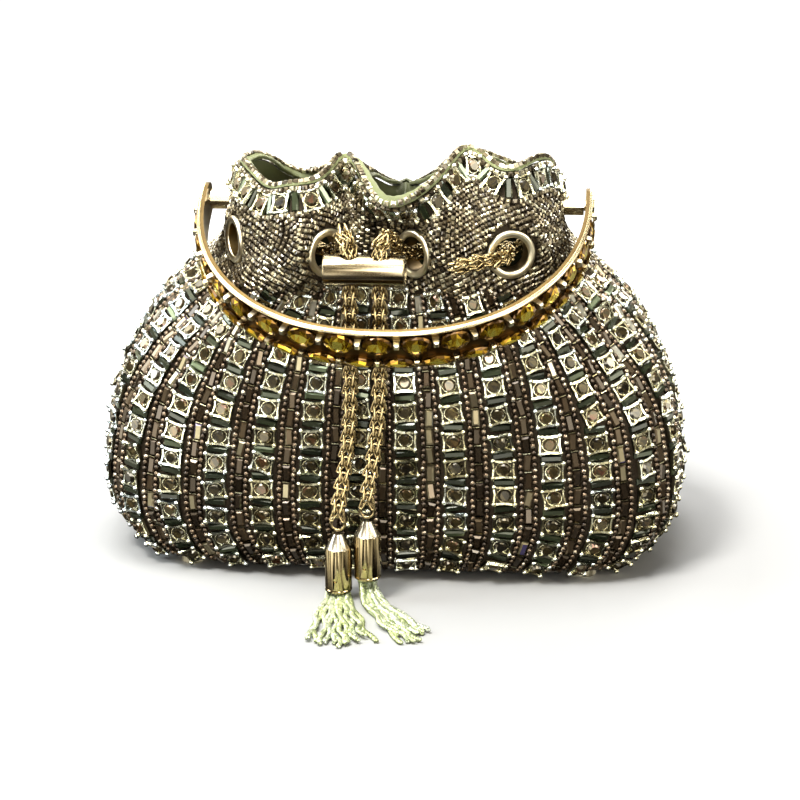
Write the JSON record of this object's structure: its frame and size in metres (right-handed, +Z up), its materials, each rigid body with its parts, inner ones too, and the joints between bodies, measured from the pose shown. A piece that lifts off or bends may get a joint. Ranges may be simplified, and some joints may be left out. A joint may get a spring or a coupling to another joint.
{
  "type": "potli bag",
  "caption": "Gathered evening pouch with a stone-set shell, satin lining, chain drawstring with slider and tassels, and a rigid jewelled arch handle.",
  "frame": {"origin": "centre of the bounding box's footprint on the ground, without the cords", "axes": "+Z up, +X to the pouch's right, front with the slider and tassels towards -Y"},
  "size_m": [0.2058, 0.1551, 0.1492],
  "materials": {
    "stone_cloth": "cloth covered with prong-set and bead-set stones in olive, bronze and smoke",
    "satin": "satin",
    "pale_gold": "polished pale gold plate",
    "amber_set_gold": "polished gold plate set with faceted amber glass",
    "tassel_thread": "fine pale chain strands",
    "board_card": "matte"
  },
  "bodies": {
    "pouch": {"outer_shell": "stone_cloth", "lining": "satin", "base_board": "board_card", "rim_binding": "satin", "foot_1": "pale_gold", "foot_2": "pale_gold", "foot_3": "pale_gold", "foot_4": "pale_gold", "eyelet_01": "pale_gold", "eyelet_02": "pale_gold", "eyelet_03": "pale_gold", "eyelet_04": "pale_gold", "eyelet_05": "pale_gold", "eyelet_06": "pale_gold", "eyelet_07": "pale_gold", "eyelet_08": "pale_gold", "eyelet_washer_01": "pale_gold", "eyelet_washer_02": "pale_gold", "eyelet_washer_03": "pale_gold", "eyelet_washer_04": "pale_gold", "eyelet_washer_05": "pale_gold", "eyelet_washer_06": "pale_gold", "eyelet_washer_07": "pale_gold", "eyelet_washer_08": "pale_gold", "drawstring_chain": "pale_gold", "chain_tail": "pale_gold", "chain_left": "pale_gold", "chain_right": "pale_gold", "chain_ring_left": "pale_gold", "chain_ring_right": "pale_gold", "tassel_cap_left": "pale_gold", "tassel_cap_right": "pale_gold", "tassel_left": "tassel_thread", "tassel_right": "tassel_thread", "pivot_screw_left": "pale_gold", "pivot_screw_right": "pale_gold", "pivot_post_left": "pale_gold", "pivot_post_right": "pale_gold", "pivot_nut_left": "pale_gold", "pivot_nut_right": "pale_gold"},
    "handle": {"handle": "amber_set_gold"},
    "slider": {"slider": "pale_gold"}
  },
  "joints": [
    {"name": "handle_swing", "type": "hinge", "parent": "pouch", "child": "handle", "pos_m": [0, 0.01355, 0.124], "axis": [-1, 0, 0], "range_deg": [0, 230]},
    {"name": "slider_travel", "type": "slide", "parent": "pouch", "child": "slider", "axis": [0, 0, -1], "range_m": [0, 0.03]}
  ]
}
